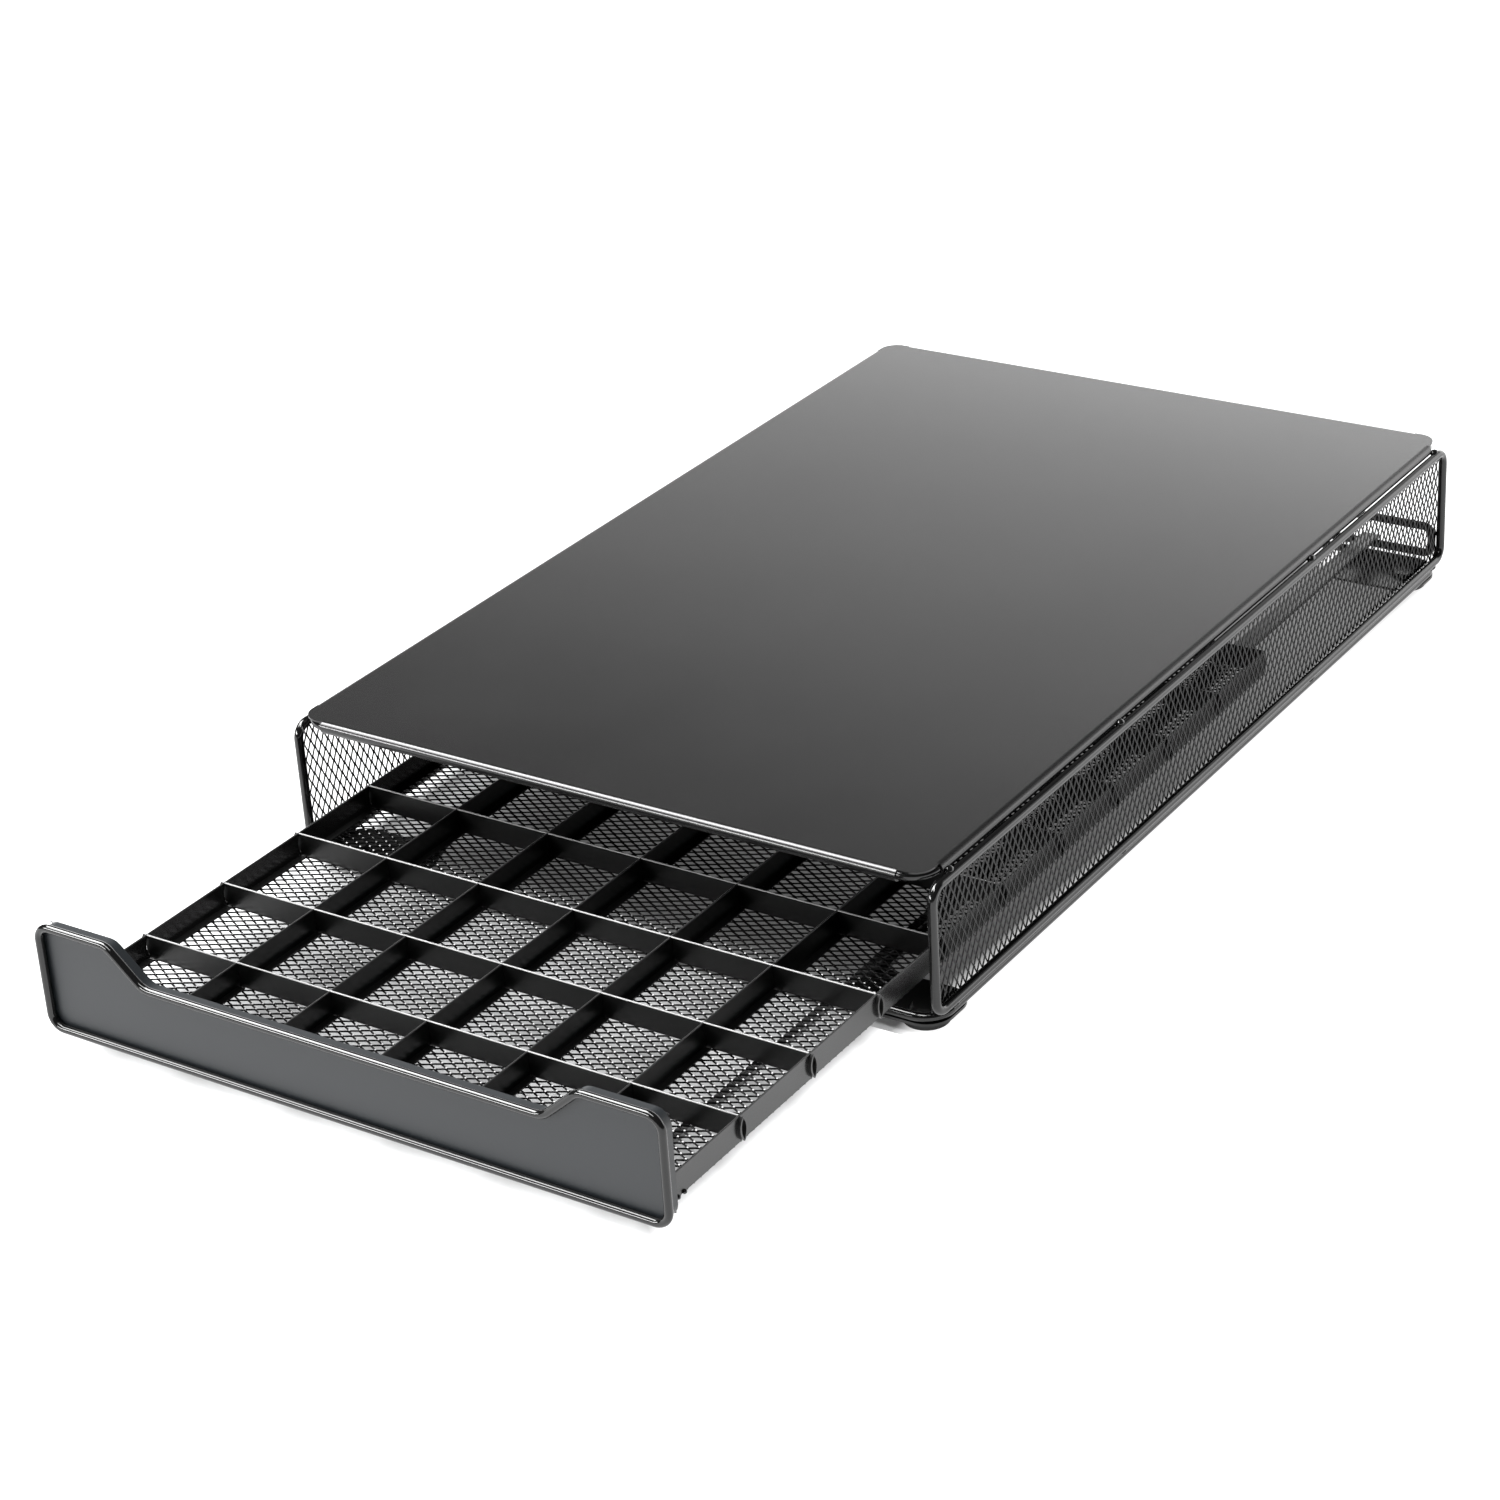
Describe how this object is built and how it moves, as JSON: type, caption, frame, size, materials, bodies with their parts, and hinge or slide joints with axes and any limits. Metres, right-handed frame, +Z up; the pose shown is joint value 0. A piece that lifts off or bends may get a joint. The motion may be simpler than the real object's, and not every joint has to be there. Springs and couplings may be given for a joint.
{
  "type": "compartment drawer unit",
  "caption": "Low black wire and mesh drawer unit with a flat sheet top; its one shallow drawer, divided into small square compartments, slides out at the front.",
  "frame": {"origin": "on the table, under the middle of the unit's box as it stands with its drawer part open", "axes": "+Z up; -Y is the way the drawer slides out; +X is to the right, seen from the drawer front"},
  "size_m": [0.2552, 0.532, 0.0592],
  "materials": {
    "coated_top": "fine-textured black powder coat on sheet steel",
    "coated_wire": "satin black powder coat on steel wire",
    "coated_strip": "satin black powder coat on thin sheet steel",
    "coated_mesh": "satin black powder coat on expanded metal",
    "coated_welds": "glossy black powder coat over small weld beads",
    "rubber_feet": "matt black rubber"
  },
  "bodies": {
    "housing": {"top_panel": "coated_top", "top_frame_wire": "coated_wire", "bottom_frame_wire": "coated_wire", "side_frame_left": "coated_wire", "side_frame_right": "coated_wire", "side_mesh_left": "coated_mesh", "side_mesh_right": "coated_mesh", "rear_stop_wire": "coated_wire", "runner_left": "coated_strip", "runner_right": "coated_strip", "corner_plate_front_left": "coated_strip", "corner_plate_front_right": "coated_strip", "corner_plate_rear_left": "coated_strip", "corner_plate_rear_right": "coated_strip", "foot_front_left": "rubber_feet", "foot_front_right": "rubber_feet", "foot_rear_left": "rubber_feet", "foot_rear_right": "rubber_feet", "weld_beads_left": "coated_welds", "weld_beads_right": "coated_welds"},
    "drawer": {"drawer_front_panel": "coated_strip", "drawer_front_rim": "coated_wire", "drawer_front_mesh": "coated_mesh", "drawer_floor_mesh": "coated_mesh", "drawer_skid_left": "coated_strip", "drawer_skid_right": "coated_strip", "drawer_wall_left": "coated_strip", "drawer_wall_right": "coated_strip", "drawer_wall_rear": "coated_strip", "cross_divider_1": "coated_strip", "cross_divider_2": "coated_strip", "cross_divider_3": "coated_strip", "cross_divider_4": "coated_strip", "cross_divider_5": "coated_strip", "cross_divider_6": "coated_strip", "cross_divider_7": "coated_strip", "cross_divider_8": "coated_strip", "cross_divider_9": "coated_strip", "long_divider_1": "coated_strip", "long_divider_2": "coated_strip", "long_divider_3": "coated_strip", "long_divider_4": "coated_strip", "long_divider_5": "coated_strip", "drawer_weld_beads": "coated_welds"}
  },
  "joints": [
    {"name": "drawer_slide", "type": "slide", "parent": "housing", "child": "drawer", "axis": [0, -1, 0], "range_m": [-0.1321, 0.105]}
  ]
}
